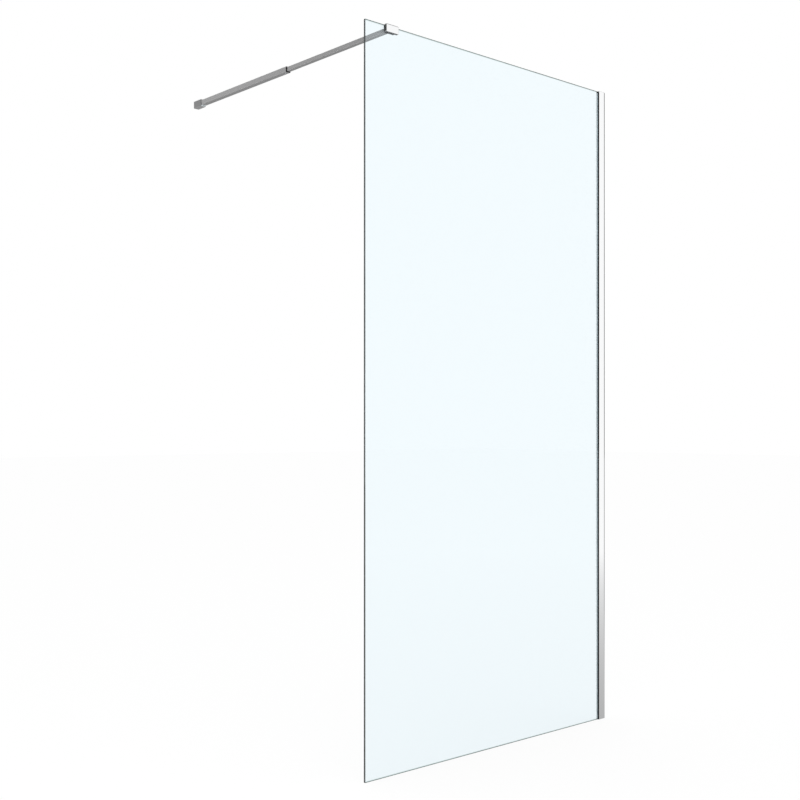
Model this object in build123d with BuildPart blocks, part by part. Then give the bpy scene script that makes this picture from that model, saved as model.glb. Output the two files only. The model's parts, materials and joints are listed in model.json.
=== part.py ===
from build123d import *
from math import cos, pi
import os

# Walk-in shower screen, in millimetres.
# X runs along the glass, towards the wall that carries it. Y goes through the glass, into the
# shower. Z is up. The origin is on that wall's face, at the floor, in the glass's middle plane.
# Plane.XZ faces the viewer, so on it a negative amount goes away, into the shower.

# Glass panel, pushed right into the wall channel
screen_height = 1950.0
screen_width = 975.0
glass_thickness = 6.0
glass_arris = 0.5

# Gaskets and packers that hold the glass in the glazing profile
gasket_thickness = 1.1
gasket_lip = 1.3
gasket_lip_gap = 0.3
gasket_end_gap = 0.5
edge_gap = 2.0
packer_length = 60.0
packer_margin = 120.0
packer_clearance = 0.2

# Glazing profile, the inner extrusion
profile_wall = 1.2
profile_web = 1.5
pocket_depth = 13.0
leg_end_gap = 1.0
profile_backset = 0.5

# Wall channel, the outer extrusion
channel_depth = 29.0
channel_cheek = 1.5
channel_web = 2.0
channel_bevel_length = 4.6
channel_bevel_depth = 1.2
channel_mouth_radius = 0.5
slide_clearance = 0.2
width_travel = 15.0
wall_hole_diameter = 5.0
wall_hole_margin = 150.0
wall_hole_count = 4

# Cap on the wall channel's upper end
cap_thickness = 1.5
cap_edge_radius = 0.5
cap_spigot_depth = 4.0
cap_spigot_length = 12.0
cap_clearance = 0.1
cap_running_gap = 0.5

# Screws that lock the glazing profile in the channel's slots
lock_margin = 250.0
lock_end_distance = 4.0
lock_screw_diameter = 4.0
lock_screw_past_nut = 0.5
lock_hole_clearance = 0.2
lock_slot_clearance = 0.3
lock_head_diameter = 7.6
lock_head_height = 2.4
lock_head_radius = 0.9
lock_hex = 2.5
lock_hex_depth = 1.4
washer_diameter = 9.0
washer_thickness = 0.8
nut_size = 7.0
nut_thickness = 3.0
thread_clearance = 0.05
cover_wall = 1.1
cover_side_clearance = 0.2
cover_top_clearance = 0.5
cover_standoff = 0.1
cover_edge_radius = 1.6

# Clamp over the glass's top edge
clamp_setback = 85.4
clamp_width = 43.0
clamp_height = 21.0
clamp_front_leg = 8.0
clamp_rear_leg = 3.4
clamp_rear_width = 32.0
clamp_rear_raise = 1.5
clamp_top_web = 1.6
clamp_top_radius = 3.0
clamp_edge_radius = 1.0
front_pad_thickness = 1.0
rear_pad_thickness = 0.8
top_pad_thickness = 0.4
pad_margin = 1.5
plate_thickness = 0.8
plate_clearance = 0.1
clamp_screw_diameter = 4.0
clamp_screw_offset = 11.0
clamp_screw_recess = 0.2
clamp_screw_hex = 2.0
clamp_screw_hex_depth = 1.8

# Telescopic support bar of square tube
bar_drop = 7.8
bar_length = 933.0
inner_size = 12.0
outer_size = 16.0
tube_wall = 1.2
tube_corner = 1.0
inner_length = 674.0
outer_mouth = 435.5
spigot_clearance = 0.1
spigot_length = 16.0
guide_length = 12.0
guide_clearance = 0.1
mouth_rim = 1.0
mouth_liner_length = 25.0
mouth_liner_gap = 0.2
mouth_outer_gap = 0.05

# Small screws of the bar and its bracket
grub_diameter = 4.0
grub_hex = 2.0
grub_hex_depth = 1.8
inner_screw_place = 8.0
inner_screw_depth = 5.0
bar_screw_place = 12.0
bar_screw_head = 6.0
bar_screw_head_height = 2.2
bar_screw_head_radius = 0.6
bar_screw_tip_gap = 0.3

# Bracket on the wall opposite the glass
bracket_width = 18.4
bracket_height = 22.0
bracket_edge_radius = 0.8
bracket_socket_depth = 31.0
bracket_socket_clearance = 0.1
bracket_partition = 2.0
tube_grub_place = 8.0
base_width = 15.0
base_height = 18.6
base_thickness = 9.0
base_clearance = 0.1
base_hole_diameter = 5.5
base_sink_diameter = 10.5
base_sink_angle = 90.0
bracket_screw_recess = 0.3
base_screw_bite = 1.3

# Across the glass: half widths and faces, from the middle plane outwards
glass_half = glass_thickness / 2
pocket_half = glass_half + gasket_thickness
profile_half = pocket_half + profile_wall
channel_inner_half = profile_half + slide_clearance
channel_half = channel_inner_half + channel_cheek

# Along the glass: places measured from the wall
channel_mouth_x = -channel_depth
pocket_mouth_x = channel_mouth_x + profile_backset
pocket_floor_x = pocket_mouth_x + pocket_depth
gasket_lip_back_x = channel_mouth_x - gasket_lip_gap
gasket_lip_front_x = pocket_mouth_x - gasket_lip
leg_root_x = pocket_floor_x + profile_web
profile_end_x = -channel_web - leg_end_gap
glass_wall_x = pocket_floor_x - edge_gap
gasket_end_x = glass_wall_x - gasket_end_gap
lock_x = profile_end_x - lock_end_distance
clamp_x = -screen_width + clamp_setback

# Up the screen
wall_hole_pitch = (screen_height - 2 * wall_hole_margin) / (wall_hole_count - 1)
lock_heights = (lock_margin, screen_height / 2, screen_height - lock_margin)
packer_heights = (packer_margin, screen_height / 2, screen_height - packer_margin)
profile_height = screen_height - cap_spigot_depth - cap_running_gap
clamp_slot_top = screen_height + top_pad_thickness
clamp_top = clamp_slot_top + clamp_top_web
clamp_bottom = clamp_top - clamp_height
rear_leg_bottom = clamp_bottom + clamp_rear_raise
bar_z = screen_height - bar_drop

# Through the clamp, from its outer face to the bar
clamp_slot_front = -glass_half - front_pad_thickness
clamp_front = clamp_slot_front - clamp_front_leg
rear_pad_back = glass_half + rear_pad_thickness
clamp_slot_rear = rear_pad_back + plate_thickness
clamp_rear = clamp_slot_rear + clamp_rear_leg

# Along the bar, from the clamp to the wall opposite
bar_wall_y = clamp_rear + bar_length
inner_end_y = clamp_rear + inner_length
mouth_y = clamp_rear + outer_mouth
outer_start_y = mouth_y + mouth_rim
bracket_front_y = bar_wall_y - base_thickness - bracket_partition - bracket_socket_depth
outer_end_y = bracket_front_y + bracket_socket_depth
base_front_y = bar_wall_y - base_thickness
inner_bore = inner_size - 2 * tube_wall
outer_bore = outer_size - 2 * tube_wall
inner_screw_y = clamp_rear + inner_screw_place
bar_screw_y = outer_start_y + bar_screw_place
socket_screw_y = bracket_front_y + tube_grub_place
base_screw_y = base_front_y + base_thickness / 2
bracket_screw_foot = bar_z - bracket_height / 2 + bracket_screw_recess

os.makedirs("parts", exist_ok=True)


def hex_radius(across_flats):
    """Corner radius of a hexagon that is given by its size across flats."""
    return across_flats / 2 / cos(pi / 6)


def tube_section(outside, inside, corner):
    """Square tube's section, drawn in the sketch that is open."""
    RectangleRounded(outside, outside, corner)
    Rectangle(inside, inside, mode=Mode.SUBTRACT)


def channel_outline():
    """Wall channel's outer section, bevelled where it meets the wall."""
    with BuildSketch() as outline:
        with BuildLine():
            Polyline(
                (channel_mouth_x, -channel_half),
                (-channel_bevel_length, -channel_half),
                (0, channel_bevel_depth - channel_half),
                (0, channel_half - channel_bevel_depth),
                (-channel_bevel_length, channel_half),
                (channel_mouth_x, channel_half),
                close=True,
            )
        make_face()
        fillet(outline.vertices().group_by(Axis.X)[0], channel_mouth_radius)
    return outline.sketch


def grub_screw(diameter, length, hex_size, hex_depth):
    """Headless screw with its tip at the origin and its hexagon socket on top."""
    with BuildPart() as screw:
        with BuildSketch():
            Circle(diameter / 2)
        extrude(amount=length)
        with BuildSketch(Plane.XY.offset(length)):
            RegularPolygon(hex_radius(hex_size), 6)
        extrude(amount=-hex_depth, mode=Mode.SUBTRACT)
    return screw.part


def headed_screw(diameter, shank, head_diameter, head_height, head_radius, hex_size, hex_depth):
    """Screw with its tip at the origin, a rounded head and a hexagon socket on top."""
    with BuildPart() as screw:
        with BuildSketch():
            Circle(diameter / 2)
        extrude(amount=shank)
        with BuildSketch(Plane.XY.offset(shank)):
            Circle(head_diameter / 2)
        extrude(amount=head_height)
        fillet(screw.edges().filter_by(GeomType.CIRCLE).sort_by(Axis.Z)[-1], head_radius)
        with BuildSketch(Plane.XY.offset(shank + head_height)):
            RegularPolygon(hex_radius(hex_size), 6)
        extrude(amount=-hex_depth, mode=Mode.SUBTRACT)
    return screw.part


def screw_cover(outer_radius, inner_radius, height, wall, edge_radius):
    """Round cover with its rim on the XY plane and a rounded top."""
    with BuildPart() as cover:
        with BuildSketch():
            Circle(outer_radius)
        extrude(amount=height)
        fillet(cover.faces().sort_by(Axis.Z)[-1].edges(), edge_radius)
        with BuildSketch():
            Circle(inner_radius)
        extrude(amount=height - wall, mode=Mode.SUBTRACT)
    return cover.part


def part_at_walls(inner_half):
    """Parts the open extrusion into its web and its two side walls, which touch, as solids.

    The real extrusion is one piece. Its solids keep the space between the walls open to what
    collides with them.
    """
    for side in (-1, 1):
        split(bisect_by=Plane.XZ.offset(side * inner_half), keep=Keep.BOTH)


def lock_planes(y):
    """Planes of the locking screws that face into the shower, at depth y."""
    return [Plane(origin=(lock_x, y, z), z_dir=(0, 1, 0)) for z in lock_heights]


# Wall channel: a U that opens towards the glass, with holes for the wall screws in its web and
# a slot for each locking screw in its rear cheek
channel_section = channel_outline()
with BuildPart() as wall_channel:
    with BuildSketch():
        add(channel_section)
        with Locations((channel_mouth_x, 0)):
            Rectangle(
                channel_depth - channel_web,
                2 * channel_inner_half,
                align=(Align.MIN, Align.CENTER),
                mode=Mode.SUBTRACT,
            )
    extrude(amount=screen_height)
    with BuildSketch(Plane.YZ.offset(-channel_web)):
        for number in range(wall_hole_count):
            with Locations((0, wall_hole_margin + number * wall_hole_pitch)):
                Circle(wall_hole_diameter / 2)
    extrude(amount=channel_web, mode=Mode.SUBTRACT)
    with BuildSketch(Plane.XZ.offset(-channel_half)):
        with Locations(*[(lock_x - width_travel / 2, z) for z in lock_heights]):
            SlotCenterToCenter(width_travel, lock_screw_diameter + 2 * lock_slot_clearance)
    extrude(amount=channel_cheek, mode=Mode.SUBTRACT)
    part_at_walls(channel_inner_half)
wall_channel.part.label = "wall_channel"
export_step(wall_channel.part, "parts/wall_channel.step")

# Cap on the channel, with a spigot between its cheeks
with BuildPart() as channel_top_cap:
    with BuildSketch(Plane.XY.offset(screen_height)):
        add(channel_section)
    extrude(amount=cap_thickness)
    fillet(channel_top_cap.faces().sort_by(Axis.Z)[-1].edges(), cap_edge_radius)
    with BuildSketch(Plane.XY.offset(screen_height)):
        with Locations((-channel_web - cap_clearance, 0)):
            Rectangle(
                cap_spigot_length,
                2 * (channel_inner_half - cap_clearance),
                align=(Align.MAX, Align.CENTER),
            )
    extrude(amount=-cap_spigot_depth)
channel_top_cap.part.label = "channel_top_cap"
export_step(channel_top_cap.part, "parts/channel_top_cap.step")

# Glazing profile: a pocket for the glass, a web, and two legs that run in the channel
with BuildPart() as glazing_profile:
    with BuildSketch():
        with Locations((pocket_mouth_x, 0)):
            Rectangle(
                profile_end_x - pocket_mouth_x,
                2 * profile_half,
                align=(Align.MIN, Align.CENTER),
            )
            Rectangle(
                pocket_depth,
                2 * pocket_half,
                align=(Align.MIN, Align.CENTER),
                mode=Mode.SUBTRACT,
            )
        with Locations((leg_root_x, 0)):
            Rectangle(
                profile_end_x - leg_root_x,
                2 * pocket_half,
                align=(Align.MIN, Align.CENTER),
                mode=Mode.SUBTRACT,
            )
    extrude(amount=profile_height)
    with BuildSketch(Plane.XZ.offset(-profile_half)):
        with Locations(*[(lock_x, z) for z in lock_heights]):
            Circle(lock_screw_diameter / 2 + lock_hole_clearance)
    extrude(amount=profile_wall, mode=Mode.SUBTRACT)
    part_at_walls(pocket_half)
glazing_profile.part.label = "glazing_profile"
export_step(glazing_profile.part, "parts/glazing_profile.step")

# Toughened glass, with a ground arris on every edge
with BuildPart() as glass_panel:
    with BuildSketch():
        with Locations((-screen_width, 0)):
            Rectangle(
                screen_width + glass_wall_x,
                glass_thickness,
                align=(Align.MIN, Align.CENTER),
            )
    extrude(amount=screen_height)
    chamfer(glass_panel.edges(), glass_arris)
glass_panel.part.label = "glass_panel"
export_step(glass_panel.part, "parts/glass_panel.step")


def gasket_section(side, lip_half):
    """Gasket on one face of the glass: a strip in the pocket, and a lip out to lip_half."""
    outwards = Align.MIN if side > 0 else Align.MAX
    with BuildSketch() as section:
        with Locations((pocket_mouth_x, side * glass_half)):
            Rectangle(
                gasket_end_x - pocket_mouth_x,
                gasket_thickness,
                align=(Align.MIN, outwards),
            )
            Rectangle(
                pocket_mouth_x - gasket_lip_back_x,
                profile_half - glass_half,
                align=(Align.MAX, outwards),
            )
        with Locations((gasket_lip_back_x, side * glass_half)):
            Rectangle(
                gasket_lip_back_x - gasket_lip_front_x,
                lip_half - glass_half,
                align=(Align.MAX, outwards),
            )
    return section.sketch


# Gaskets that grip the glass in the pocket. The outer one's lip also covers the channel's cheek.
front_gasket_section = gasket_section(-1, channel_half)
with BuildPart() as front_gasket:
    with BuildSketch():
        add(front_gasket_section)
    extrude(amount=profile_height)
front_gasket.part.label = "front_gasket"
export_step(front_gasket.part, "parts/front_gasket.step")

rear_gasket_section = gasket_section(1, profile_half)
with BuildPart() as rear_gasket:
    with BuildSketch():
        add(rear_gasket_section)
    extrude(amount=profile_height)
rear_gasket.part.label = "rear_gasket"
export_step(rear_gasket.part, "parts/rear_gasket.step")

# Packers between the glass's hidden edge and the pocket's floor
with BuildPart() as edge_packers:
    for packer_z in packer_heights:
        with BuildSketch(Plane.XY.offset(packer_z - packer_length / 2)):
            with Locations((glass_wall_x, 0)):
                Rectangle(
                    edge_gap,
                    2 * (pocket_half - packer_clearance),
                    align=(Align.MIN, Align.CENTER),
                )
        extrude(amount=packer_length)
edge_packers.part.label = "edge_packers"
export_step(edge_packers.part, "parts/edge_packers.step")

# Nuts in the hollow of the glazing profile, against its rear leg
with BuildPart() as profile_nuts:
    with BuildSketch(Plane.XZ.offset(-pocket_half)):
        with Locations(*[(lock_x, z) for z in lock_heights]):
            Rectangle(nut_size, nut_size)
            Circle(lock_screw_diameter / 2 + thread_clearance, mode=Mode.SUBTRACT)
    extrude(amount=nut_thickness)
profile_nuts.part.label = "profile_nuts"
export_step(profile_nuts.part, "parts/profile_nuts.step")

# Washers on the channel's rear cheek
with BuildPart() as profile_washers:
    with BuildSketch(Plane.XZ.offset(-channel_half)):
        with Locations(*[(lock_x, z) for z in lock_heights]):
            Circle(washer_diameter / 2)
            Circle(lock_screw_diameter / 2 + lock_hole_clearance, mode=Mode.SUBTRACT)
    extrude(amount=-washer_thickness)
profile_washers.part.label = "profile_washers"
export_step(profile_washers.part, "parts/profile_washers.step")

# Locking screws, from the shower side through slot and leg into the nuts
lock_tip_y = pocket_half - nut_thickness - lock_screw_past_nut
lock_head_y = channel_half + washer_thickness
lock_screw = headed_screw(
    lock_screw_diameter,
    lock_head_y - lock_tip_y,
    lock_head_diameter,
    lock_head_height,
    lock_head_radius,
    lock_hex,
    lock_hex_depth,
)
with BuildPart() as profile_screws:
    with Locations(*lock_planes(lock_tip_y)):
        add(lock_screw)
profile_screws.part.label = "profile_screws"
export_step(profile_screws.part, "parts/profile_screws.step")

# Covers that press on over the washers
cover_inner_radius = washer_diameter / 2 + cover_side_clearance
cover_inner_height = washer_thickness + lock_head_height + cover_top_clearance - cover_standoff
cover = screw_cover(
    cover_inner_radius + cover_wall,
    cover_inner_radius,
    cover_inner_height + cover_wall,
    cover_wall,
    cover_edge_radius,
)
with BuildPart() as screw_covers:
    with Locations(*lock_planes(channel_half + cover_standoff)):
        add(cover)
screw_covers.part.label = "screw_covers"
export_step(screw_covers.part, "parts/screw_covers.step")

# Clamp: a saddle over the glass, with a block in front, a narrower leg behind and, on that, a
# square spigot for the bar
spigot_size = inner_bore - 2 * spigot_clearance
with BuildPart() as glass_clamp:
    with BuildSketch(Plane.XZ.offset(-clamp_slot_front)):
        with Locations((clamp_x, clamp_bottom)):
            Rectangle(clamp_width, clamp_height, align=(Align.CENTER, Align.MIN))
    extrude(amount=clamp_front_leg)
    block_top = glass_clamp.faces().sort_by(Axis.Z)[-1].edges()
    fillet(block_top.sort_by(Axis.Y)[:-1], clamp_top_radius)
    fillet(glass_clamp.edges().filter_by(Axis.Z).group_by(Axis.Y)[0], clamp_edge_radius)
    fillet(glass_clamp.faces().sort_by(Axis.Z)[0].edges().sort_by(Axis.Y)[:-1], clamp_edge_radius)
    with BuildSketch(Plane.XY.offset(clamp_slot_top)):
        with Locations((clamp_x, clamp_slot_front)):
            Rectangle(
                clamp_rear_width,
                clamp_rear - clamp_slot_front,
                align=(Align.CENTER, Align.MIN),
            )
    extrude(amount=clamp_top_web)
    with BuildSketch(Plane.XZ.offset(-clamp_slot_rear)):
        with Locations((clamp_x, rear_leg_bottom)):
            Rectangle(
                clamp_rear_width,
                clamp_top - rear_leg_bottom,
                align=(Align.CENTER, Align.MIN),
            )
    extrude(amount=-clamp_rear_leg)
    fillet(glass_clamp.faces().sort_by(Axis.Y)[-1].edges(), clamp_edge_radius)
    with BuildSketch(Plane.XZ.offset(-clamp_rear)):
        with Locations((clamp_x, bar_z)):
            Rectangle(spigot_size, spigot_size)
    extrude(amount=-spigot_length)
    with BuildSketch(Plane.XZ.offset(-clamp_rear)):
        with Locations((clamp_x - clamp_screw_offset, bar_z), (clamp_x + clamp_screw_offset, bar_z)):
            Circle(clamp_screw_diameter / 2 + thread_clearance)
    extrude(amount=clamp_rear_leg, mode=Mode.SUBTRACT)
    with BuildSketch(Plane.XY.offset(bar_z - inner_size / 2)):
        with Locations((clamp_x, inner_screw_y)):
            Circle(grub_diameter / 2 + thread_clearance)
    extrude(amount=inner_screw_depth, mode=Mode.SUBTRACT)
glass_clamp.part.label = "glass_clamp"
export_step(glass_clamp.part, "parts/glass_clamp.step")

# Pads between the clamp and the glass
front_pad_bottom = clamp_bottom + pad_margin
rear_pad_bottom = rear_leg_bottom + pad_margin
rear_pad_width = clamp_rear_width - 2 * pad_margin
with BuildPart() as clamp_front_pad:
    with BuildSketch(Plane.XZ.offset(-clamp_slot_front)):
        with Locations((clamp_x, front_pad_bottom)):
            Rectangle(
                clamp_width - 2 * pad_margin,
                screen_height - front_pad_bottom,
                align=(Align.CENTER, Align.MIN),
            )
    extrude(amount=-front_pad_thickness)
clamp_front_pad.part.label = "clamp_front_pad"
export_step(clamp_front_pad.part, "parts/clamp_front_pad.step")

with BuildPart() as clamp_rear_pad:
    with BuildSketch(Plane.XZ.offset(-glass_half)):
        with Locations((clamp_x, rear_pad_bottom)):
            Rectangle(
                rear_pad_width,
                screen_height - rear_pad_bottom,
                align=(Align.CENTER, Align.MIN),
            )
    extrude(amount=-rear_pad_thickness)
clamp_rear_pad.part.label = "clamp_rear_pad"
export_step(clamp_rear_pad.part, "parts/clamp_rear_pad.step")

with BuildPart() as clamp_top_pad:
    with BuildSketch(Plane.XY.offset(screen_height)):
        with Locations((clamp_x, 0)):
            Rectangle(rear_pad_width, glass_thickness)
    extrude(amount=top_pad_thickness)
clamp_top_pad.part.label = "clamp_top_pad"
export_step(clamp_top_pad.part, "parts/clamp_top_pad.step")

# Plate that spreads the grub screws' load over the rear pad
with BuildPart() as pressure_plate:
    with BuildSketch(Plane.XZ.offset(-rear_pad_back)):
        with Locations((clamp_x, rear_pad_bottom)):
            Rectangle(
                rear_pad_width,
                clamp_slot_top - plate_clearance - rear_pad_bottom,
                align=(Align.CENTER, Align.MIN),
            )
    extrude(amount=-plate_thickness)
pressure_plate.part.label = "pressure_plate"
export_step(pressure_plate.part, "parts/pressure_plate.step")

# Grub screws in the clamp's rear leg, with their tips on the plate
clamp_screw = grub_screw(
    clamp_screw_diameter,
    clamp_rear_leg - clamp_screw_recess,
    clamp_screw_hex,
    clamp_screw_hex_depth,
)
clamp_screw_planes = [
    Plane(origin=(clamp_x + side * clamp_screw_offset, clamp_slot_rear, bar_z), z_dir=(0, 1, 0))
    for side in (-1, 1)
]
with BuildPart() as clamp_grub_screws:
    with Locations(*clamp_screw_planes):
        add(clamp_screw)
clamp_grub_screws.part.label = "clamp_grub_screws"
export_step(clamp_grub_screws.part, "parts/clamp_grub_screws.step")

# Inner tube of the bar, over the clamp's spigot
with BuildPart() as inner_tube:
    with BuildSketch(Plane.XZ.offset(-clamp_rear)):
        with Locations((clamp_x, bar_z)):
            tube_section(inner_size, inner_bore, tube_corner)
    extrude(amount=-inner_length)
    with BuildSketch(Plane.XY.offset(bar_z - inner_size / 2)):
        with Locations((clamp_x, inner_screw_y)):
            Circle(grub_diameter / 2 + thread_clearance)
    extrude(amount=tube_wall, mode=Mode.SUBTRACT)
inner_tube.part.label = "inner_tube"
export_step(inner_tube.part, "parts/inner_tube.step")

# Screw from below, through the inner tube into the spigot
with BuildPart() as inner_tube_screw:
    inner_screw_plane = Plane(
        origin=(clamp_x, inner_screw_y, bar_z - inner_size / 2 + inner_screw_depth),
        z_dir=(0, 0, -1),
    )
    with Locations(inner_screw_plane):
        add(grub_screw(grub_diameter, inner_screw_depth, grub_hex, grub_hex_depth))
inner_tube_screw.part.label = "inner_tube_screw"
export_step(inner_tube_screw.part, "parts/inner_tube_screw.step")

# Slider in the inner tube's far end, which guides it in the outer tube
with BuildPart() as tube_guide:
    with BuildSketch(Plane.XZ.offset(-inner_end_y)):
        with Locations((clamp_x, bar_z)):
            Rectangle(spigot_size, spigot_size)
    extrude(amount=guide_length)
    with BuildSketch(Plane.XZ.offset(-inner_end_y)):
        with Locations((clamp_x, bar_z)):
            Rectangle(outer_bore - 2 * guide_clearance, outer_bore - 2 * guide_clearance)
    extrude(amount=-guide_length)
tube_guide.part.label = "tube_guide"
export_step(tube_guide.part, "parts/tube_guide.step")

# Outer tube of the bar, from its mouth to the bracket
with BuildPart() as outer_tube:
    with BuildSketch(Plane.XZ.offset(-outer_start_y)):
        with Locations((clamp_x, bar_z)):
            tube_section(outer_size, outer_bore, tube_corner)
    extrude(amount=outer_start_y - outer_end_y)
    with BuildSketch(Plane.XY.offset(bar_z - outer_size / 2)):
        with Locations((clamp_x, bar_screw_y)):
            Circle(grub_diameter / 2 + thread_clearance)
    extrude(amount=tube_wall, mode=Mode.SUBTRACT)
outer_tube.part.label = "outer_tube"
export_step(outer_tube.part, "parts/outer_tube.step")

# Bush in the outer tube's mouth: a liner with a rim over the tube's end
liner_outside = outer_bore - 2 * mouth_outer_gap
liner_inside = inner_size + 2 * mouth_liner_gap
with BuildPart() as mouth_bush:
    with BuildSketch(Plane.XZ.offset(-mouth_y)):
        with Locations((clamp_x, bar_z)):
            tube_section(outer_size, liner_inside, tube_corner)
    extrude(amount=-mouth_rim)
    with BuildSketch(Plane.XZ.offset(-outer_start_y)):
        with Locations((clamp_x, bar_z)):
            Rectangle(liner_outside, liner_outside)
            Rectangle(liner_inside, liner_inside, mode=Mode.SUBTRACT)
    extrude(amount=-mouth_liner_length)
    with BuildSketch(Plane.XY.offset(bar_z - outer_bore / 2)):
        with Locations((clamp_x, bar_screw_y)):
            Circle(grub_diameter / 2 + thread_clearance)
    extrude(amount=(outer_bore - liner_inside) / 2, mode=Mode.SUBTRACT)
mouth_bush.part.label = "mouth_bush"
export_step(mouth_bush.part, "parts/mouth_bush.step")

# Screw under the outer tube's mouth, which locks the inner tube
bar_screw_tip = bar_z - inner_size / 2 - bar_screw_tip_gap
bar_screw = headed_screw(
    grub_diameter,
    bar_screw_tip - (bar_z - outer_size / 2),
    bar_screw_head,
    bar_screw_head_height,
    bar_screw_head_radius,
    grub_hex,
    grub_hex_depth,
)
with BuildPart() as bar_lock_screw:
    with Locations(Plane(origin=(clamp_x, bar_screw_y, bar_screw_tip), z_dir=(0, 0, -1))):
        add(bar_screw)
bar_lock_screw.part.label = "bar_lock_screw"
export_step(bar_lock_screw.part, "parts/bar_lock_screw.step")

# Bracket's socket: an upright block, with a pocket for the tube and one for the base behind it
socket_pocket = outer_size + 2 * bracket_socket_clearance
base_pocket_width = base_width + 2 * base_clearance
base_pocket_height = base_height + 2 * base_clearance
with BuildPart() as bracket_socket:
    with BuildSketch(Plane.XZ.offset(-bracket_front_y)):
        with Locations((clamp_x, bar_z)):
            RectangleRounded(bracket_width, bracket_height, bracket_edge_radius)
    extrude(amount=bracket_front_y - bar_wall_y)
    fillet(bracket_socket.faces().sort_by(Axis.Y)[0].edges(), bracket_edge_radius)
    with BuildSketch(Plane.XZ.offset(-bracket_front_y)):
        with Locations((clamp_x, bar_z)):
            Rectangle(socket_pocket, socket_pocket)
    extrude(amount=-bracket_socket_depth, mode=Mode.SUBTRACT)
    with BuildSketch(Plane.XZ.offset(-base_front_y)):
        with Locations((clamp_x, bar_z)):
            Rectangle(base_pocket_width, base_pocket_height)
    extrude(amount=-base_thickness, mode=Mode.SUBTRACT)
    with BuildSketch(Plane.XY.offset(bar_z - bracket_height / 2)):
        with Locations((clamp_x, socket_screw_y), (clamp_x, base_screw_y)):
            Circle(grub_diameter / 2 + thread_clearance)
    extrude(amount=(bracket_height - socket_pocket) / 2, mode=Mode.SUBTRACT)
bracket_socket.part.label = "bracket_socket"
export_step(bracket_socket.part, "parts/bracket_socket.step")

# Bracket's base: a block that one countersunk screw holds on the wall
with BuildPart() as bracket_base:
    with BuildSketch(Plane.XZ.offset(-base_front_y)):
        with Locations((clamp_x, bar_z)):
            Rectangle(base_width, base_height)
    extrude(amount=-base_thickness)
    with Locations(Plane(origin=(clamp_x, base_front_y, bar_z), z_dir=(0, -1, 0))):
        CounterSinkHole(
            base_hole_diameter / 2,
            base_sink_diameter / 2,
            base_thickness,
            base_sink_angle,
        )
    with BuildSketch(Plane.XY.offset(bar_z - base_height / 2)):
        with Locations((clamp_x, base_screw_y)):
            Circle(grub_diameter / 2 + thread_clearance)
    extrude(amount=base_screw_bite, mode=Mode.SUBTRACT)
bracket_base.part.label = "bracket_base"
export_step(bracket_base.part, "parts/bracket_base.step")

# Grub screws under the bracket: one holds the tube, the other holds the socket on its base
tube_grub_length = bar_z - outer_size / 2 - bracket_screw_foot
base_grub_length = bar_z - base_height / 2 + base_screw_bite - bracket_screw_foot
tube_grub = grub_screw(grub_diameter, tube_grub_length, grub_hex, grub_hex_depth)
base_grub = grub_screw(grub_diameter, base_grub_length, grub_hex, grub_hex_depth)
tube_grub_tip = (clamp_x, socket_screw_y, bracket_screw_foot + tube_grub_length)
base_grub_tip = (clamp_x, base_screw_y, bracket_screw_foot + base_grub_length)
with BuildPart() as bracket_screws:
    with Locations(Plane(origin=tube_grub_tip, z_dir=(0, 0, -1))):
        add(tube_grub)
    with Locations(Plane(origin=base_grub_tip, z_dir=(0, 0, -1))):
        add(base_grub)
bracket_screws.part.label = "bracket_screws"
export_step(bracket_screws.part, "parts/bracket_screws.step")
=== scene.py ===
import json
from math import cos, radians, sin

import bpy
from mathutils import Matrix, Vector


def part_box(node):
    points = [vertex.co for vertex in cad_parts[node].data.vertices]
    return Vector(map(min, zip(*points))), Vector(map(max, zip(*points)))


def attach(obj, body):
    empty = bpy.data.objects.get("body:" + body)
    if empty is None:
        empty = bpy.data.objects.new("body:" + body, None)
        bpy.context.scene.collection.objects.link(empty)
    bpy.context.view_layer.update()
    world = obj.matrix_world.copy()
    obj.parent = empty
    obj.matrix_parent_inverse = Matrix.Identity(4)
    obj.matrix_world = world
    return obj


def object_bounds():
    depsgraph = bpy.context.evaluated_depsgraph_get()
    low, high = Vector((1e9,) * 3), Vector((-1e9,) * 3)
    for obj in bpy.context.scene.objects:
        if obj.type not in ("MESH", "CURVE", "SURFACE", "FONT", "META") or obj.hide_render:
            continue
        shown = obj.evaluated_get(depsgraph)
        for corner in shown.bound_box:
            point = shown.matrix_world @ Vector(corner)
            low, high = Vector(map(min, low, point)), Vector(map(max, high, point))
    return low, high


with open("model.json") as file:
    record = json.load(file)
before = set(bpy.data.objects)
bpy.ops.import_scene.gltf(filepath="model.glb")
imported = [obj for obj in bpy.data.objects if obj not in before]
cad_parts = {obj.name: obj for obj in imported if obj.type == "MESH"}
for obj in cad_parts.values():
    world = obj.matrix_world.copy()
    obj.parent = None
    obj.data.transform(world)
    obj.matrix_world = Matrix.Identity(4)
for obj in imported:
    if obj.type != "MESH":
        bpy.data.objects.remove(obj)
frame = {"nodes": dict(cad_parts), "record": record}
cad_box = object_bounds()

# Everything is in metres. The wall's face is at X 0 and the floor at Z 0, the glass runs along -X
# in the plane Y 0, and the support bar goes along +Y.
MILLIMETRE = 0.001

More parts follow.
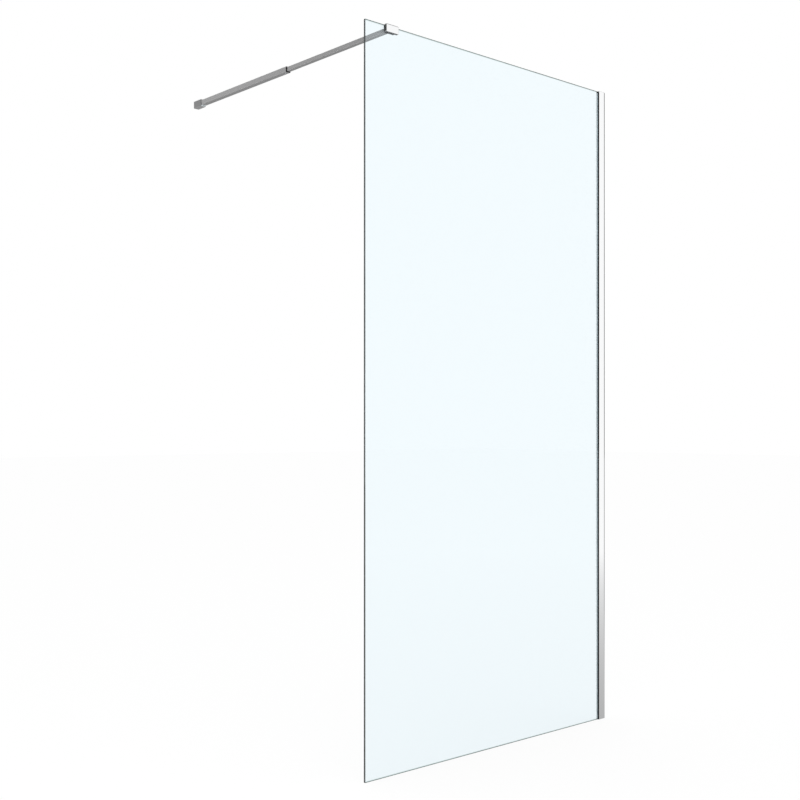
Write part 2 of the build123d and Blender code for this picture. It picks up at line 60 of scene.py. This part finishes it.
# Finishes as they are seen under plain light
ALUMINIUM_COLOUR = (0.91, 0.915, 0.92)
CHROME_COLOUR = (0.90, 0.905, 0.91)
TUBE_COLOUR = (0.88, 0.88, 0.885)
STEEL_COLOUR = (0.58, 0.58, 0.59)
PLATED_COLOUR = (0.84, 0.845, 0.85)
CAP_COLOUR = (0.60, 0.61, 0.62)
RUBBER_COLOUR = (0.002, 0.002, 0.002)
NYLON_COLOUR = (0.80, 0.80, 0.77)
BLACK_NYLON_COLOUR = (0.012, 0.012, 0.012)
PAD_COLOUR = (0.94, 0.95, 0.95)
GLASS_FACE_TINT = (0.895, 0.969, 1.0)
# Painted shade: this darker edge tint stands in for the dark look of the glass's edges
GLASS_EDGE_PAINTED_SHADE = (0.22, 0.33, 0.30)
# Ground edge's own grey, darkened with painted shade for the dark look of the glass's edge
GROUND_GLASS_AND_SHADE_COLOUR = (0.13, 0.155, 0.15)
GLASS_INDEX = 1.5
WHITE = (1.0, 1.0, 1.0)

# Ground band of the glass's edges, which lies just inside its surface and a little to the rear. Its
# dark colour is partly the ground edge's own grey and partly painted shade.
GROUND_SHADE_BAND_WIDTH = 3.8 * MILLIMETRE
GROUND_SHADE_BAND_SHIFT = 0.5 * MILLIMETRE
GROUND_SHADE_BAND_THICKNESS = 0.1 * MILLIMETRE
GROUND_SHADE_BAND_INSET = 0.12 * MILLIMETRE

# How far the painted edge shade reaches in from the upright and the level edges. On the upright
# edges it
# starts partly faded: 0 is the full painted shade and 1 is the face tint.
UPRIGHT_SHADE_REACH = 0.4 * MILLIMETRE
UPRIGHT_SHADE_START = 0.75
LEVEL_SHADE_REACH = 4.0 * MILLIMETRE

# Camera: level, with the picture's frame moved up so that the glass fills it
CAMERA_PLACE = (-2.8405, -2.2149, 0.9098)
CAMERA_HEADING = 41.9
CAMERA_LENS = 51.04
CAMERA_SHIFT = (0.0, 0.033)

# Floor, which is white to the eye
FLOOR_HALF_SIZE = 30.0
FLOOR_COLOUR = (0.90, 0.90, 0.90)
FLOOR_WHITE_SHARE = 0.9

# Floor as metal sees it, with painted reflections: painted shade makes it darker at the screen's
# foot and it brightens away from there, it is grey from a line on in the direction of the rear
# heading, and has a painted dark round patch in that part
FLOOR_NEAR_LEVEL = 0.49
FLOOR_FAR_LEVEL = 1.04
FLOOR_FADE_END = 4.71
FLOOR_REAR_LEVEL = 0.30
FLOOR_REAR_HEADING = 60.0
FLOOR_REAR_START = 0.1
FLOOR_REAR_FULL = 0.8
FLOOR_PAINTED_DARK_PLACE = (2.80, 4.17, 0.0)
FLOOR_PAINTED_DARK_RADIUS = 0.35
FLOOR_PAINTED_DARK_FADE = 0.6
FLOOR_PAINTED_DARK_LEVEL = 0.03

# Key lamp
KEY_LAMP_POWER = 60.0
KEY_LAMP_SIZE = 3.0
KEY_LAMP_PLACE = (-2.6, -2.4, 3.4)

# Surroundings as metal sees them: their own level, and on them soft boxes and flags, each with its
# compass heading from +X towards +Y and its height above the horizon in degrees, the spread of the
# full tone, the spread where it has faded out, and its level
SURROUND_LEVEL = 0.12
STUDIO_PANELS = (
    ("front box", -40.0, 9.0, 13.0, 22.0, 1.04),
    ("upper front panel", -48.0, 44.0, 14.0, 24.0, 0.75),
    ("ceiling box", 90.0, 78.0, 24.0, 40.0, 1.0),
    ("left rear panel", 121.0, 16.0, 16.0, 26.0, 0.56),
    ("bracket card", 121.5, 15.6, 2.0, 4.0, 0.27),
    ("left rear flag", 137.0, 20.0, 5.5, 9.5, 0.02),
    ("right rear flag", 42.0, 2.0, 22.0, 34.0, 0.05),
)


def add_node(tree, kind, inputs=None, **settings):
    """New node in the tree with its settings, and its inputs as values or as links."""
    made = tree.nodes.new(kind)
    for name, value in settings.items():
        setattr(made, name, value)
    for key, value in (inputs or {}).items():
        if isinstance(value, bpy.types.NodeSocket):
            tree.links.new(value, made.inputs[key])
        else:
            made.inputs[key].default_value = value
    return made


def add_math(tree, operation, first, second=0.0, clamp=False):
    """Result of a calculation on two values."""
    inputs = {0: first, 1: second}
    return add_node(tree, "ShaderNodeMath", inputs, operation=operation, use_clamp=clamp).outputs[0]


def colour(rgb):
    """A colour's three parts with full opacity."""
    return (*rgb, 1.0)


def seen_in_metal(tree, rays):
    """1 for a ray that metal has mirrored, and 0 for one that clear glass mirrors or lets through.

    Only the clear glass is perfectly sharp. A mirrored ray may pass through glass on its way.
    """
    not_sharp = add_math(tree, "SUBTRACT", 1.0, rays["Is Singular Ray"])
    mirrored = add_math(tree, "MULTIPLY", rays["Is Glossy Ray"], not_sharp)
    past_glass = add_math(tree, "MULTIPLY", rays["Is Transmission Ray"], rays["Glossy Depth"])
    return add_math(tree, "ADD", mirrored, past_glass, clamp=True)


def shader_group(name, inputs, outputs):
    """Empty shader node group with named inputs and outputs."""
    group = bpy.data.node_groups.new(name, "ShaderNodeTree")
    for socket_name, kind in inputs:
        group.interface.new_socket(socket_name, in_out="INPUT", socket_type=kind)
    for socket_name, kind in outputs:
        group.interface.new_socket(socket_name, in_out="OUTPUT", socket_type=kind)
    start = group.nodes.new("NodeGroupInput").outputs
    end = group.nodes.new("NodeGroupOutput").inputs
    return group, start, end


FINISH_OUTPUTS = (
    ("Colour", "NodeSocketColor"),
    ("Roughness", "NodeSocketFloat"),
    ("Normal", "NodeSocketVector"),
)


def swing(tree, pattern, middle, spread):
    """Value that swings about a middle as the pattern goes from 0 to 1."""
    doubled = add_math(tree, "MULTIPLY_ADD", pattern, 2.0)
    doubled.node.inputs[2].default_value = -1.0
    swung = add_math(tree, "MULTIPLY", doubled, spread)
    return add_math(tree, "ADD", swung, middle)


def finish_outputs(tree, start, end, tone_pattern, relief_pattern):
    """Feeds a finish group's outputs from a pattern of tones and a pattern of relief."""
    tone = swing(tree, tone_pattern, 1.0, start["Tone Spread"])
    shaded = add_node(
        tree,
        "ShaderNodeVectorMath",
        {0: start["Colour"], "Scale": tone},
        operation="SCALE",
    )
    roughness = swing(tree, relief_pattern, start["Roughness"], start["Roughness Spread"])
    bump = add_node(
        tree,
        "ShaderNodeBump",
        {"Height": relief_pattern, "Distance": start["Relief"], "Strength": 1.0},
    )
    tree.links.new(shaded.outputs[0], end["Colour"])
    tree.links.new(roughness, end["Roughness"])
    tree.links.new(bump.outputs[0], end["Normal"])


def drawn_finish():
    """Finish of drawn metal: fine lines along the way it was drawn, in tone, gloss and relief."""
    group, start, end = shader_group(
        "drawn_finish",
        (
            ("Colour", "NodeSocketColor"),
            ("Tone Spread", "NodeSocketFloat"),
            ("Lines", "NodeSocketVector"),
            ("Roughness", "NodeSocketFloat"),
            ("Roughness Spread", "NodeSocketFloat"),
            ("Relief", "NodeSocketFloat"),
        ),
        FINISH_OUTPUTS,
    )
    place = add_node(group, "ShaderNodeTexCoord").outputs["Object"]
    stretched = add_node(
        group,
        "ShaderNodeVectorMath",
        {0: place, 1: start["Lines"]},
        operation="MULTIPLY",
    )
    lines = add_node(
        group,
        "ShaderNodeTexNoise",
        {"Vector": stretched.outputs[0], "Scale": 1.0, "Detail": 3.0, "Roughness": 0.6},
    )
    finish_outputs(group, start, end, lines.outputs["Fac"], lines.outputs["Fac"])
    return group


def moulded_finish():
    """Finish of moulded, cast and plated pieces: a fine grain under broad, faint clouds."""
    group, start, end = shader_group(
        "moulded_finish",
        (
            ("Colour", "NodeSocketColor"),
            ("Tone Spread", "NodeSocketFloat"),
            ("Grain", "NodeSocketFloat"),
            ("Clouds", "NodeSocketFloat"),
            ("Roughness", "NodeSocketFloat"),
            ("Roughness Spread", "NodeSocketFloat"),
            ("Relief", "NodeSocketFloat"),
        ),
        FINISH_OUTPUTS,
    )
    place = add_node(group, "ShaderNodeTexCoord").outputs["Object"]
    grain = add_node(
        group,
        "ShaderNodeTexNoise",
        {"Vector": place, "Scale": start["Grain"], "Detail": 2.0},
    )
    clouds = add_node(
        group,
        "ShaderNodeTexNoise",
        {"Vector": place, "Scale": start["Clouds"], "Detail": 4.0, "Distortion": 0.4},
    )
    finish_outputs(group, start, end, clouds.outputs["Fac"], grain.outputs["Fac"])
    return group


def sheet_tint_and_edge_shade():
    """Tint of sheet glass: even over the faces, with painted shade as a darker tint in a narrow
    band along the edges.
    """
    group, start, end = shader_group(
        "sheet_tint_and_edge_shade",
        (
            ("Face Tint", "NodeSocketColor"),
            ("Edge Tint", "NodeSocketColor"),
            ("Low Corner", "NodeSocketVector"),
            ("High Corner", "NodeSocketVector"),
            ("Upright Reach", "NodeSocketFloat"),
            ("Upright Start", "NodeSocketFloat"),
            ("Level Reach", "NodeSocketFloat"),
        ),
        (("Colour", "NodeSocketColor"), ("Edge", "NodeSocketFloat")),
    )
    place = add_node(group, "ShaderNodeTexCoord").outputs["Object"]
    from_low = add_node(
        group,
        "ShaderNodeVectorMath",
        {0: place, 1: start["Low Corner"]},
        operation="SUBTRACT",
    )
    from_high = add_node(
        group,
        "ShaderNodeVectorMath",
        {0: start["High Corner"], 1: place},
        operation="SUBTRACT",
    )
    nearest = add_node(
        group,
        "ShaderNodeVectorMath",
        {0: from_low.outputs[0], 1: from_high.outputs[0]},
        operation="MINIMUM",
    )
    parts = add_node(group, "ShaderNodeSeparateXYZ", {0: nearest.outputs[0]}).outputs
    from_upright = add_math(group, "DIVIDE", parts["X"], start["Upright Reach"])
    from_upright = add_math(group, "ADD", from_upright, start["Upright Start"])
    from_level = add_math(group, "DIVIDE", parts["Z"], start["Level Reach"])
    distance = add_math(group, "MINIMUM", from_upright, from_level)
    edge = add_node(
        group,
        "ShaderNodeMapRange",
        {"Value": distance, "From Min": 1.0, "From Max": 0.0},
        interpolation_type="SMOOTHSTEP",
    )
    tint_and_edge_shade = add_node(
        group,
        "ShaderNodeMix",
        {0: edge.outputs[0], 6: start["Face Tint"], 7: start["Edge Tint"]},
        data_type="RGBA",
    )
    group.links.new(tint_and_edge_shade.outputs[2], end["Colour"])
    group.links.new(edge.outputs[0], end["Edge"])
    return group


def new_material(name):
    """Empty material and its output's surface socket."""
    made = bpy.data.materials.new(name)
    made.use_nodes = True
    tree = made.node_tree
    tree.nodes.clear()
    surface = tree.nodes.new("ShaderNodeOutputMaterial").inputs["Surface"]
    return made, tree, surface


def finished_material(name, group, finish, **shader):
    """Material with a finish group on one shader, whose other inputs keep one value each."""
    made, tree, surface = new_material(name)
    placed = add_node(tree, "ShaderNodeGroup", node_tree=group)
    for key, value in finish.items():
        placed.inputs[key].default_value = value
    body = add_node(tree, "ShaderNodeBsdfPrincipled", shader)
    tree.links.new(placed.outputs["Colour"], body.inputs["Base Color"])
    tree.links.new(placed.outputs["Roughness"], body.inputs["Roughness"])
    tree.links.new(placed.outputs["Normal"], body.inputs["Normal"])
    tree.links.new(body.outputs[0], surface)
    return made


def clear_glass(tint_and_shade_group):
    """Clear toughened glass with a faint blue-green tint and painted shade along its edges. Lamps
    shine through it.
    """
    low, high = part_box("glass_panel")
    made, tree, surface = new_material("clear_glass")
    tint_and_edge_shade = add_node(tree, "ShaderNodeGroup", node_tree=tint_and_shade_group)
    tint_and_shade_values = {
        "Face Tint": colour(GLASS_FACE_TINT),
        "Edge Tint": colour(GLASS_EDGE_PAINTED_SHADE),
        "Low Corner": low,
        "High Corner": high,
        "Upright Reach": UPRIGHT_SHADE_REACH,
        "Upright Start": UPRIGHT_SHADE_START,
        "Level Reach": LEVEL_SHADE_REACH,
    }
    for name, value in tint_and_shade_values.items():
        tint_and_edge_shade.inputs[name].default_value = value
    glass = add_node(
        tree,
        "ShaderNodeBsdfPrincipled",
        {
            "Base Color": tint_and_edge_shade.outputs["Colour"],
            "Roughness": 0.0,
            "IOR": GLASS_INDEX,
            "Transmission Weight": 1.0,
        },
    )
    lit_through = add_node(tree, "ShaderNodeBsdfTransparent", {"Color": colour(GLASS_FACE_TINT)})
    lamp_ray = add_node(tree, "ShaderNodeLightPath").outputs["Is Shadow Ray"]
    mixed = add_node(
        tree,
        "ShaderNodeMixShader",
        {0: lamp_ray, 1: glass.outputs[0], 2: lit_through.outputs[0]},
    )
    tree.links.new(mixed.outputs[0], surface)
    return made


drawn = drawn_finish()
moulded = moulded_finish()

# One material for each slot of the record
materials = {
    "polished_aluminium": finished_material(
        "polished_aluminium",
        drawn,
        {
            "Colour": colour(ALUMINIUM_COLOUR),
            "Tone Spread": 0.015,
            "Lines": (900.0, 900.0, 3.0),
            "Roughness": 0.05,
            "Roughness Spread": 0.03,
            "Relief": 0.000002,
        },
        Metallic=1.0,
    ),
    "polished_tube": finished_material(
        "polished_tube",
        drawn,
        {
            "Colour": colour(TUBE_COLOUR),
            "Tone Spread": 0.03,
            "Lines": (1400.0, 8.0, 1400.0),
            "Roughness": 0.38,
            "Roughness Spread": 0.06,
            "Relief": 0.000004,
        },
        Metallic=1.0,
    ),
    "chromed_brass": finished_material(
        "chromed_brass",
        moulded,
        {
            "Colour": colour(CHROME_COLOUR),
            "Tone Spread": 0.01,
            "Grain": 260.0,
            "Clouds": 40.0,
            "Roughness": 0.05,
            "Roughness Spread": 0.02,
            "Relief": 0.000004,
        },
        Metallic=1.0,
    ),
    "stainless_steel": finished_material(
        "stainless_steel",
        moulded,
        {
            "Colour": colour(STEEL_COLOUR),
            "Tone Spread": 0.06,
            "Grain": 1500.0,
            "Clouds": 120.0,
            "Roughness": 0.28,
            "Roughness Spread": 0.08,
            "Relief": 0.00001,
        },
        Metallic=1.0,
    ),
    "cover_plastic": finished_material(
        "cover_plastic",
        moulded,
        {
            "Colour": colour(PLATED_COLOUR),
            "Tone Spread": 0.02,
            "Grain": 500.0,
            "Clouds": 60.0,
            "Roughness": 0.10,
            "Roughness Spread": 0.03,
            "Relief": 0.000006,
        },
        Metallic=1.0,
    ),
    "grey_plastic": finished_material(
        "grey_plastic",
        moulded,
        {
            "Colour": colour(CAP_COLOUR),
            "Tone Spread": 0.05,
            "Grain": 2600.0,
            "Clouds": 90.0,
            "Roughness": 0.42,
            "Roughness Spread": 0.08,
            "Relief": 0.00003,
        },
    ),
    "black_rubber": finished_material(
        "black_rubber",
        moulded,
        {
            "Colour": colour(RUBBER_COLOUR),
            "Tone Spread": 0.25,
            "Grain": 1800.0,
            "Clouds": 30.0,
            "Roughness": 0.75,
            "Roughness Spread": 0.10,
            "Relief": 0.00003,
        },
        **{"Specular IOR Level": 0.05},
    ),
    "white_nylon": finished_material(
        "white_nylon",
        moulded,
        {
            "Colour": colour(NYLON_COLOUR),
            "Tone Spread": 0.03,
            "Grain": 1200.0,
            "Clouds": 50.0,
            "Roughness": 0.38,
            "Roughness Spread": 0.06,
            "Relief": 0.00002,
        },
    ),
    "black_nylon": finished_material(
        "black_nylon",
        moulded,
        {
            "Colour": colour(BLACK_NYLON_COLOUR),
            "Tone Spread": 0.10,
            "Grain": 1200.0,
            "Clouds": 50.0,
            "Roughness": 0.45,
            "Roughness Spread": 0.06,
            "Relief": 0.00002,
        },
        **{"Specular IOR Level": 0.2},
    ),
    "clear_pad": finished_material(
        "clear_pad",
        moulded,
        {
            "Colour": colour(PAD_COLOUR),
            "Tone Spread": 0.03,
            "Grain": 900.0,
            "Clouds": 80.0,
            "Roughness": 0.30,
            "Roughness Spread": 0.05,
            "Relief": 0.00001,
        },
        **{"Transmission Weight": 0.1},
    ),
    "clear_glass": clear_glass(sheet_tint_and_edge_shade()),
}

for subpart in frame["record"]["subparts"]:
    for slot in frame["nodes"][subpart["node"]].material_slots:
        slot.material = materials[subpart["material_slot"]]

# Ground edge's frosted grey, darkened with painted shade for the dark look of the edge
ground_glass_and_shade = finished_material(
    "ground_glass_and_shade",
    moulded,
    {
        "Colour": colour(GROUND_GLASS_AND_SHADE_COLOUR),
        "Tone Spread": 0.10,
        "Grain": 2400.0,
        "Clouds": 14.0,
        "Roughness": 0.55,
        "Roughness Spread": 0.10,
        "Relief": 0.00002,
    },
)


def band_tree():
    """Geometry nodes that run a thin band round a rectangle in the plane Y 0."""
    tree = bpy.data.node_groups.new("ground_and_shade_band", "GeometryNodeTree")
    tree.interface.new_socket("Geometry", in_out="INPUT", socket_type="NodeSocketGeometry")
    for name in ("Run", "Rise", "Band Width", "Band Thickness"):
        tree.interface.new_socket(name, in_out="INPUT", socket_type="NodeSocketFloat")
    tree.interface.new_socket("Centre", in_out="INPUT", socket_type="NodeSocketVector")
    tree.interface.new_socket("Material", in_out="INPUT", socket_type="NodeSocketMaterial")
    tree.interface.new_socket("Geometry", in_out="OUTPUT", socket_type="NodeSocketGeometry")
    start = tree.nodes.new("NodeGroupInput").outputs
    end = tree.nodes.new("NodeGroupOutput").inputs
    outline = add_node(
        tree,
        "GeometryNodeCurvePrimitiveQuadrilateral",
        {"Width": start["Run"], "Height": start["Rise"]},
    )
    upright = add_node(
        tree,
        "GeometryNodeTransform",
        {
            "Geometry": outline.outputs[0],
            "Translation": start["Centre"],
            "Rotation": (radians(90.0), 0.0, 0.0),
        },
    )
    section = add_node(
        tree,
        "GeometryNodeCurvePrimitiveQuadrilateral",
        {"Width": start["Band Width"], "Height": start["Band Thickness"]},
    )
    band = add_node(
        tree,
        "GeometryNodeCurveToMesh",
        {"Curve": upright.outputs[0], "Profile Curve": section.outputs[0]},
    )
    real = add_node(tree, "GeometryNodeRealizeInstances", {"Geometry": band.outputs[0]})
    painted = add_node(
        tree,
        "GeometryNodeSetMaterial",
        {"Geometry": real.outputs[0], "Material": start["Material"]},
    )
    tree.links.new(painted.outputs[0], end["Geometry"])
    return tree


def grown_piece(name, tree, inputs):
    """Plain mesh object of what a geometry tree makes from its named inputs."""
    host = bpy.data.objects.new(name + "_host", bpy.data.meshes.new(name + "_host"))
    bpy.context.scene.collection.objects.link(host)
    modifier = host.modifiers.new("tree", "NODES")
    modifier.node_group = tree
    for item in tree.interface.items_tree:
        if item.in_out == "INPUT" and item.name in inputs:
            modifier[item.identifier] = inputs[item.name]
    graph = bpy.context.evaluated_depsgraph_get()
    mesh = bpy.data.meshes.new_from_object(host.evaluated_get(graph))
    host.modifiers.remove(modifier)
    bpy.data.objects.remove(host)
    mesh.name = name
    made = bpy.data.objects.new(name, mesh)
    bpy.context.scene.collection.objects.link(made)
    return made


def ground_edge_and_shade():
    """Ground band of the glass, darkened with painted shade for the edge, where the light that runs
    in the sheet is scattered and dies.
    """
    low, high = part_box("glass_panel")
    depth = GROUND_SHADE_BAND_INSET + GROUND_SHADE_BAND_THICKNESS / 2
    band = grown_piece(
        "ground_edge_and_shade",
        band_tree(),
        {
            "Run": high.x - low.x - 2 * depth,
            "Rise": high.z - low.z - 2 * depth,
            "Band Width": GROUND_SHADE_BAND_WIDTH,
            "Band Thickness": GROUND_SHADE_BAND_THICKNESS,
            "Centre": (low + high) / 2 + Vector((0.0, GROUND_SHADE_BAND_SHIFT, 0.0)),
            "Material": ground_glass_and_shade,
        },
    )
    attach(band, "screen")
    return band


ground_edge_and_shade()


def studio_floor():
    """Pale floor: white to the eye and through glass, and graded with painted reflections where
    metal mirrors it.
    """
    mesh = bpy.data.meshes.new("floor")
    corners = [(x * FLOOR_HALF_SIZE, y * FLOOR_HALF_SIZE, 0.0) for x, y in
               ((-1, -1), (1, -1), (1, 1), (-1, 1))]
    mesh.from_pydata(corners, [], [(0, 1, 2, 3)])
    floor = bpy.data.objects.new("floor", mesh)
    bpy.context.scene.collection.objects.link(floor)
    made, tree, surface = new_material("studio_floor")
    rays = add_node(tree, "ShaderNodeLightPath").outputs
    place = add_node(tree, "ShaderNodeTexCoord").outputs["Object"]
    distance = add_node(tree, "ShaderNodeVectorMath", {0: place}, operation="LENGTH")
    # Painted shade: in metal the floor's glow is darker near the screen's foot
    level = add_node(
        tree,
        "ShaderNodeMapRange",
        {
            "Value": distance.outputs["Value"],
            "From Min": 0.0,
            "From Max": FLOOR_FADE_END,
            "To Min": FLOOR_NEAR_LEVEL,
            "To Max": FLOOR_FAR_LEVEL,
        },
    )
    # Painted reflection: in metal the floor's glow turns grey towards the rear heading
    depth = add_node(
        tree,
        "ShaderNodeVectorMath",
        {0: place, 1: heading_vector(FLOOR_REAR_HEADING, 0.0)},
        operation="DOT_PRODUCT",
    ).outputs["Value"]
    rear = add_node(
        tree,
        "ShaderNodeMapRange",
        {"Value": depth, "From Min": FLOOR_REAR_START, "From Max": FLOOR_REAR_FULL},
    )
    level = add_node(
        tree,
        "ShaderNodeMix",
        {0: rear.outputs[0], 2: level.outputs[0], 3: FLOOR_REAR_LEVEL},
        data_type="FLOAT",
    )
    # Painted reflection: a dark round patch in the floor's glow as metal sees it
    painted_dark_distance = add_node(
        tree,
        "ShaderNodeVectorMath",
        {0: place, 1: FLOOR_PAINTED_DARK_PLACE},
        operation="DISTANCE",
    )
    flag = add_node(
        tree,
        "ShaderNodeMapRange",
        {
            "Value": painted_dark_distance.outputs["Value"],
            "From Min": FLOOR_PAINTED_DARK_FADE,
            "From Max": FLOOR_PAINTED_DARK_RADIUS,
        },
    )
    level = add_node(
        tree,
        "ShaderNodeMix",
        {0: flag.outputs[0], 2: level.outputs[0], 3: FLOOR_PAINTED_DARK_LEVEL},
        data_type="FLOAT",
    )
    matt = add_node(tree, "ShaderNodeBsdfDiffuse", {"Color": colour(FLOOR_COLOUR)})
    white = add_node(tree, "ShaderNodeEmission", {"Color": colour(WHITE)})
    in_metal = add_node(tree, "ShaderNodeEmission", {"Strength": level.outputs[0]})
    seen = add_math(tree, "ADD", rays["Is Camera Ray"], rays["Is Singular Ray"], clamp=True)
    white_share = add_math(tree, "MULTIPLY", seen, FLOOR_WHITE_SHARE)
    to_eye = add_node(
        tree,
        "ShaderNodeMixShader",
        {0: white_share, 1: matt.outputs[0], 2: white.outputs[0]},
    )
    mixed = add_node(
        tree,
        "ShaderNodeMixShader",
        {0: seen_in_metal(tree, rays), 1: to_eye.outputs[0], 2: in_metal.outputs[0]},
    )
    tree.links.new(mixed.outputs[0], surface)
    mesh.materials.append(made)
    return floor


def heading_vector(heading, height):
    """Direction at a compass heading from +X towards +Y and a height above the horizon."""
    around, up = radians(heading), radians(height)
    return Vector((cos(around) * cos(up), sin(around) * cos(up), sin(up)))


def studio_surround():
    """Surroundings: plain white light, and in metal the studio's soft boxes and dark flags."""
    world = bpy.data.worlds.new("studio")
    bpy.context.scene.world = world
    world.use_nodes = True
    tree = world.node_tree
    tree.nodes.clear()
    output = tree.nodes.new("ShaderNodeOutputWorld").inputs["Surface"]
    direction = add_node(tree, "ShaderNodeTexCoord").outputs["Generated"]
    level = SURROUND_LEVEL
    for _, heading, height, inner, outer, panel_level in STUDIO_PANELS:
        towards = add_node(
            tree,
            "ShaderNodeVectorMath",
            {0: direction, 1: heading_vector(heading, height)},
            operation="DOT_PRODUCT",
        )
        spread = add_node(
            tree,
            "ShaderNodeMapRange",
            {
                "Value": towards.outputs["Value"],
                "From Min": cos(radians(outer)),
                "From Max": cos(radians(inner)),
            },
            interpolation_type="SMOOTHSTEP",
        )
        level = add_node(
            tree,
            "ShaderNodeMix",
            {0: spread.outputs[0], 2: level, 3: panel_level},
            data_type="FLOAT",
        ).outputs[0]
    rays = add_node(tree, "ShaderNodeLightPath").outputs
    strength = add_node(
        tree,
        "ShaderNodeMix",
        {0: seen_in_metal(tree, rays), 2: 1.0, 3: level},
        data_type="FLOAT",
    )
    light = add_node(
        tree,
        "ShaderNodeBackground",
        {"Color": colour(WHITE), "Strength": strength.outputs[0]},
    )
    tree.links.new(light.outputs[0], output)


def key_lamp():
    """Large soft lamp in front of the screen, above the camera, unseen in the metal."""
    data = bpy.data.lights.new("key_lamp", "AREA")
    data.shape = "DISK"
    data.size = KEY_LAMP_SIZE
    data.energy = KEY_LAMP_POWER
    lamp = bpy.data.objects.new("key_lamp", data)
    lamp.location = KEY_LAMP_PLACE
    low, high = cad_box
    aim = (low + high) / 2 - Vector(KEY_LAMP_PLACE)
    lamp.rotation_euler = aim.to_track_quat("-Z", "Y").to_euler()
    lamp.visible_glossy = False
    lamp.visible_camera = False
    lamp.visible_transmission = False
    bpy.context.scene.collection.objects.link(lamp)


def photo_camera():
    """Camera at the picture's viewing angle."""
    data = bpy.data.cameras.new("camera")
    data.lens = CAMERA_LENS
    data.shift_x, data.shift_y = CAMERA_SHIFT
    camera = bpy.data.objects.new("camera", data)
    camera.location = CAMERA_PLACE
    camera.rotation_euler = (radians(90.0), 0.0, -radians(CAMERA_HEADING))
    bpy.context.scene.collection.objects.link(camera)
    bpy.context.scene.camera = camera


studio_floor()
studio_surround()
key_lamp()
photo_camera()
bpy.context.scene.view_settings.view_transform = "Standard"
